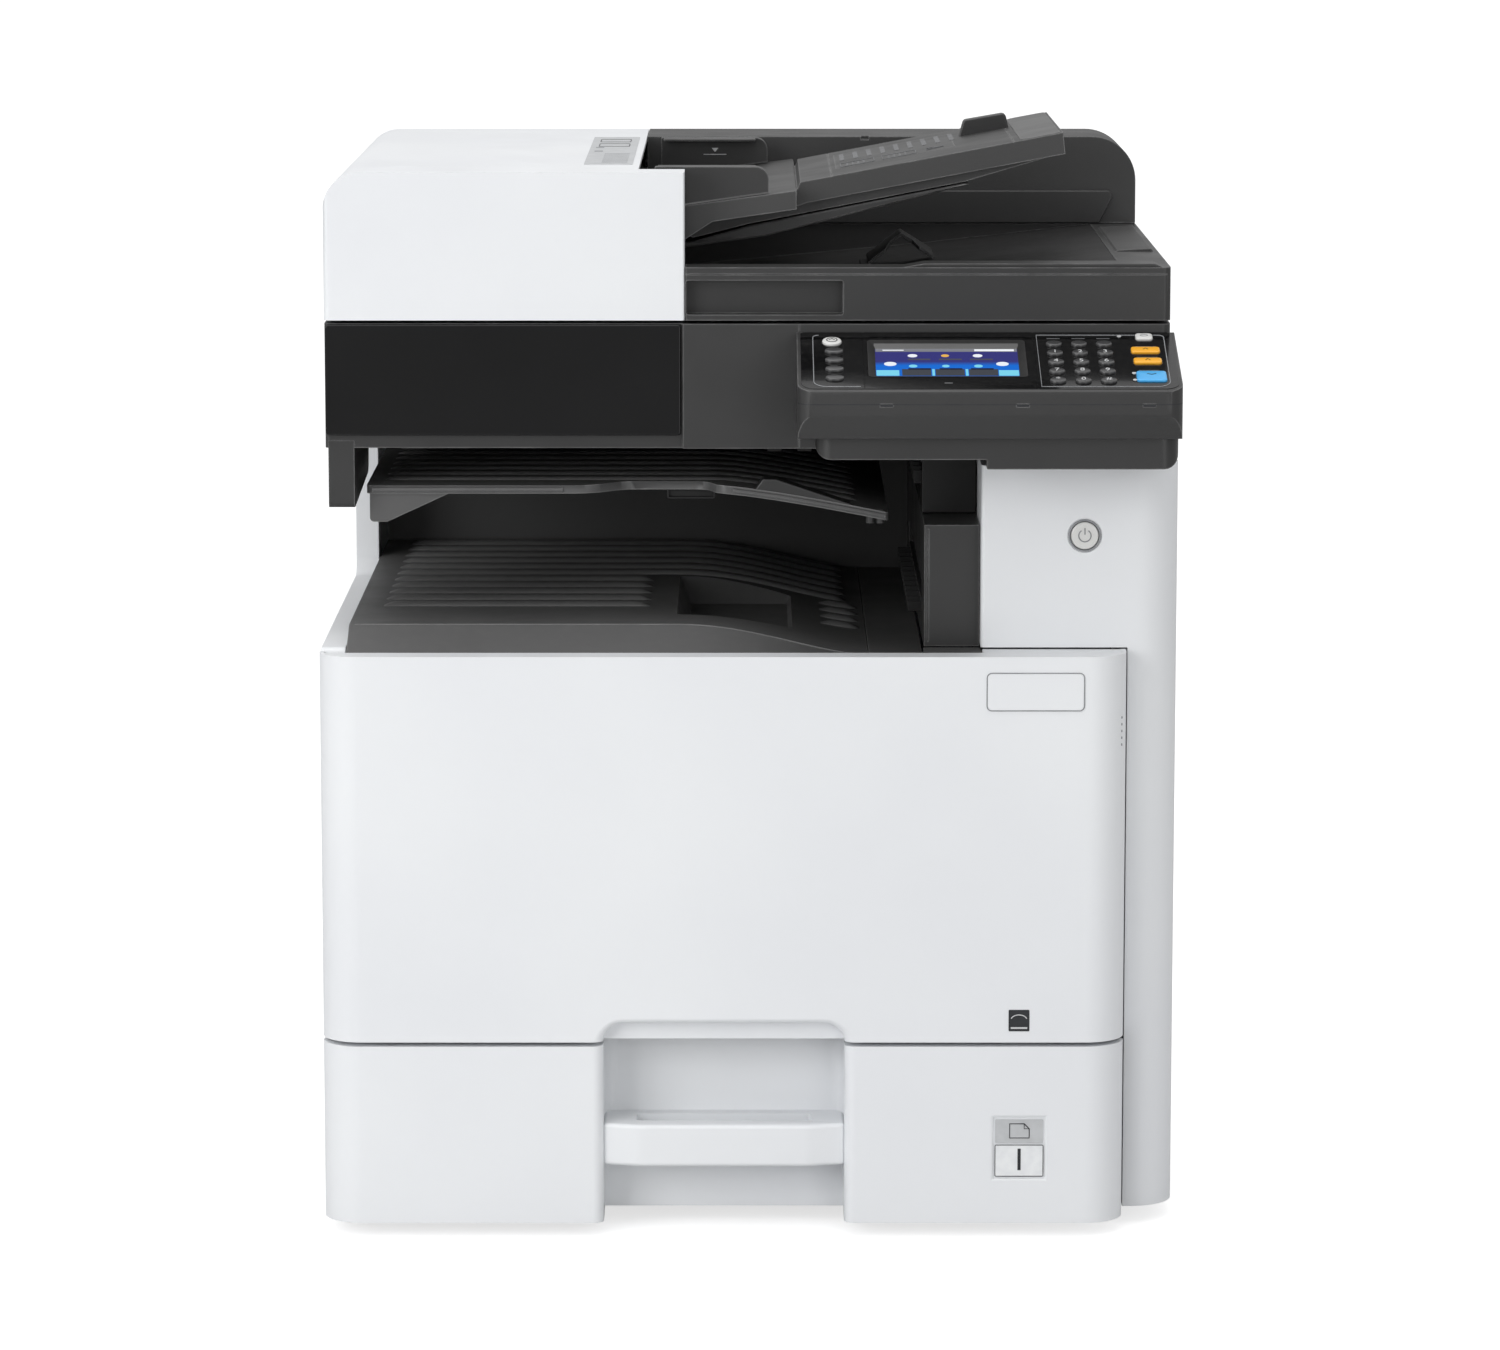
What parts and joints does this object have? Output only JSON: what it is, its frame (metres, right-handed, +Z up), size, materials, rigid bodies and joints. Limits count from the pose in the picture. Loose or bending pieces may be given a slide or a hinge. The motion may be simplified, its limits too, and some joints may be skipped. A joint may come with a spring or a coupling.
{
  "type": "photocopier",
  "caption": "Desktop multifunction copier: document feeder and flatbed scanner over an open exit tray, tilted key panel, drop-down front cover, paper cassette and side door with bypass tray.",
  "frame": {"origin": "on the floor, under the middle of the machine", "axes": "+X to the right seen from the front, -Y to the front, +Z up"},
  "size_m": [0.59, 0.59, 0.7575],
  "materials": {
    "white_plastic": "fine satin moulded",
    "grey_plastic": "satin moulded",
    "dark_plastic": "fine textured",
    "gloss_black": "piano gloss",
    "zinc_steel": "zinc-coated sheet",
    "rubber": "matt",
    "glass": "clear float glass",
    "yellow_key": "satin",
    "blue_key": "satin",
    "display": "glossy",
    "white_sheet": "matt foam-backed sheet"
  },
  "bodies": {
    "housing": {"left_side_cover": "white_plastic", "front_right_cover": "white_plastic", "right_side_cover": "white_plastic", "rear_cover": "white_plastic", "waste_toner_box": "white_plastic", "front_frame": "grey_plastic", "power_inlet": "dark_plastic", "toner_container_cyan": "dark_plastic", "toner_container_magenta": "dark_plastic", "toner_container_yellow": "dark_plastic", "toner_container_black": "dark_plastic", "laser_unit": "dark_plastic", "transfer_belt_unit": "dark_plastic", "fuser_unit": "dark_plastic", "exit_tray": "dark_plastic", "inner_tray": "dark_plastic", "exit_unit": "dark_plastic", "inner_back_wall": "dark_plastic", "scanner_housing": "dark_plastic", "control_panel": "dark_plastic", "scanner_left_panel": "gloss_black", "base_frame": "zinc_steel", "power_supply": "zinc_steel", "foot_front_left": "rubber", "foot_front_right": "rubber", "foot_rear_left": "rubber", "foot_rear_right": "rubber", "platen_glass": "glass", "slit_glass": "glass", "panel_display": "display"},
    "front_cover": {"front_cover": "white_plastic"},
    "cassette": {"cassette_front": "white_plastic", "cassette_tray": "grey_plastic"},
    "lift_plate": {"lift_plate": "zinc_steel"},
    "width_guide_front": {"width_guide_front": "grey_plastic"},
    "width_guide_rear": {"width_guide_rear": "grey_plastic"},
    "length_guide": {"length_guide": "grey_plastic"},
    "right_door": {"right_door": "white_plastic"},
    "bypass_tray": {"bypass_tray": "white_plastic"},
    "lid": {"feeder_base": "dark_plastic", "platen_sheet": "white_sheet", "feeder_rear_housing": "dark_plastic", "feed_unit": "dark_plastic"},
    "feeder_cover": {"feeder_cover": "white_plastic"},
    "document_table": {"document_table": "dark_plastic"},
    "document_guide_front": {"document_guide_front": "dark_plastic"},
    "document_guide_rear": {"document_guide_rear": "dark_plastic"},
    "eject_stopper": {"eject_stopper": "dark_plastic"},
    "scan_carriage": {"scan_carriage": "dark_plastic"},
    "power_button": {"power_button": "white_plastic"},
    "home_key": {"home_key": "white_plastic"},
    "energy_key": {"energy_key": "white_plastic"},
    "stop_key": {"stop_key": "yellow_key"},
    "reset_key": {"reset_key": "yellow_key"},
    "start_key": {"start_key": "blue_key"},
    "number_keypad": {"number_keypad": "dark_plastic"},
    "pickup_roller": {"pickup_roller": "rubber"},
    "exit_roller": {"exit_roller": "rubber"},
    "fuser_roller": {"fuser_roller": "rubber"},
    "feeder_roller": {"feeder_roller": "rubber"}
  },
  "joints": [
    {"name": "front_cover_hinge", "type": "hinge", "parent": "housing", "child": "front_cover", "pos_m": [0, -0.259, 0.1435], "axis": [1, 0, 0], "range_deg": [0, 90]},
    {"name": "cassette_slide", "type": "slide", "parent": "housing", "child": "cassette", "axis": [0, -1, 0], "range_m": [0, 0.4]},
    {"name": "lift_plate_hinge", "type": "hinge", "parent": "cassette", "child": "lift_plate", "pos_m": [-0.05, 0.025, 0.0245], "axis": [0, -1, 0], "range_deg": [0, 12]},
    {"name": "width_guide_front_slide", "type": "slide", "parent": "cassette", "child": "width_guide_front", "axis": [0, 1, 0], "range_m": [0, 0.0745]},
    {"name": "width_guide_rear_slide", "type": "slide", "parent": "cassette", "child": "width_guide_rear", "axis": [0, -1, 0], "range_m": [0, 0.0745]},
    {"name": "length_guide_slide", "type": "slide", "parent": "cassette", "child": "length_guide", "axis": [1, 0, 0], "range_m": [0, 0.12]},
    {"name": "right_door_hinge", "type": "hinge", "parent": "housing", "child": "right_door", "pos_m": [0.2905, 0.2405, 0.29], "axis": [0, 0, 1], "range_deg": [0, 90]},
    {"name": "bypass_tray_hinge", "type": "hinge", "parent": "right_door", "child": "bypass_tray", "pos_m": [0.2915, 0.0525, 0.164], "axis": [0, 1, 0], "range_deg": [0, 70]},
    {"name": "lid_hinge", "type": "hinge", "parent": "housing", "child": "lid", "pos_m": [0, 0.286, 0.636], "axis": [-1, 0, 0], "range_deg": [0, 60]},
    {"name": "feeder_cover_hinge", "type": "hinge", "parent": "lid", "child": "feeder_cover", "pos_m": [-0.288, 0.0485, 0.636], "axis": [0, -1, 0], "range_deg": [0, 70]},
    {"name": "document_table_hinge", "type": "hinge", "parent": "lid", "child": "document_table", "pos_m": [-0.0735, 0.0125, 0.7225], "axis": [0, -1, 0], "range_deg": [0, 45]},
    {"name": "document_guide_front_slide", "type": "slide", "parent": "document_table", "child": "document_guide_front", "axis": [0, 1, 0], "range_m": [0, 0.078]},
    {"name": "document_guide_rear_slide", "type": "slide", "parent": "document_table", "child": "document_guide_rear", "axis": [0, -1, 0], "range_m": [0, 0.078]},
    {"name": "eject_stopper_hinge", "type": "hinge", "parent": "lid", "child": "eject_stopper", "pos_m": [0.086, 0.035, 0.6515], "axis": [0, -1, 0], "range_deg": [0, 50]},
    {"name": "scan_carriage_slide", "type": "slide", "parent": "housing", "child": "scan_carriage", "axis": [1, 0, 0], "range_m": [0, 0.45]},
    {"name": "power_button_press", "type": "slide", "parent": "housing", "child": "power_button", "axis": [0, 1, 0], "range_m": [0, 0.0012], "stiffness_N_per_m": 900},
    {"name": "home_key_press", "type": "slide", "parent": "housing", "child": "home_key", "axis": [0, 0.2834, -0.959], "range_m": [0, 0.0012], "stiffness_N_per_m": 900},
    {"name": "energy_key_press", "type": "slide", "parent": "housing", "child": "energy_key", "axis": [0, 0.2834, -0.959], "range_m": [0, 0.0012], "stiffness_N_per_m": 900},
    {"name": "stop_key_press", "type": "slide", "parent": "housing", "child": "stop_key", "axis": [0, 0.2834, -0.959], "range_m": [0, 0.0012], "stiffness_N_per_m": 900},
    {"name": "reset_key_press", "type": "slide", "parent": "housing", "child": "reset_key", "axis": [0, 0.2834, -0.959], "range_m": [0, 0.0012], "stiffness_N_per_m": 900},
    {"name": "start_key_press", "type": "slide", "parent": "housing", "child": "start_key", "axis": [0, 0.2834, -0.959], "range_m": [0, 0.0012], "stiffness_N_per_m": 900},
    {"name": "number_keypad_press", "type": "slide", "parent": "housing", "child": "number_keypad", "axis": [0, 0.2834, -0.959], "range_m": [0, 0.0012], "stiffness_N_per_m": 900},
    {"name": "pickup_roller_spin", "type": "hinge", "parent": "housing", "child": "pickup_roller", "pos_m": [0.2, 0.025, 0.1085], "axis": [0, 1, 0], "continuous": true},
    {"name": "fuser_roller_spin", "type": "hinge", "parent": "housing", "child": "fuser_roller", "pos_m": [0.226, 0, 0.3375], "axis": [0, 1, 0], "continuous": true},
    {"name": "exit_roller_spin", "type": "hinge", "parent": "housing", "child": "exit_roller", "pos_m": [0.1275, 0.015, 0.4345], "axis": [0, 1, 0], "continuous": true},
    {"name": "feeder_roller_spin", "type": "hinge", "parent": "lid", "child": "feeder_roller", "pos_m": [-0.1, 0.0125, 0.7168], "axis": [0, 1, 0], "continuous": true}
  ],
  "couplings": [
    {"joint": "width_guide_rear_slide", "follows": "width_guide_front_slide", "ratio": 1},
    {"joint": "document_guide_rear_slide", "follows": "document_guide_front_slide", "ratio": 1}
  ]
}
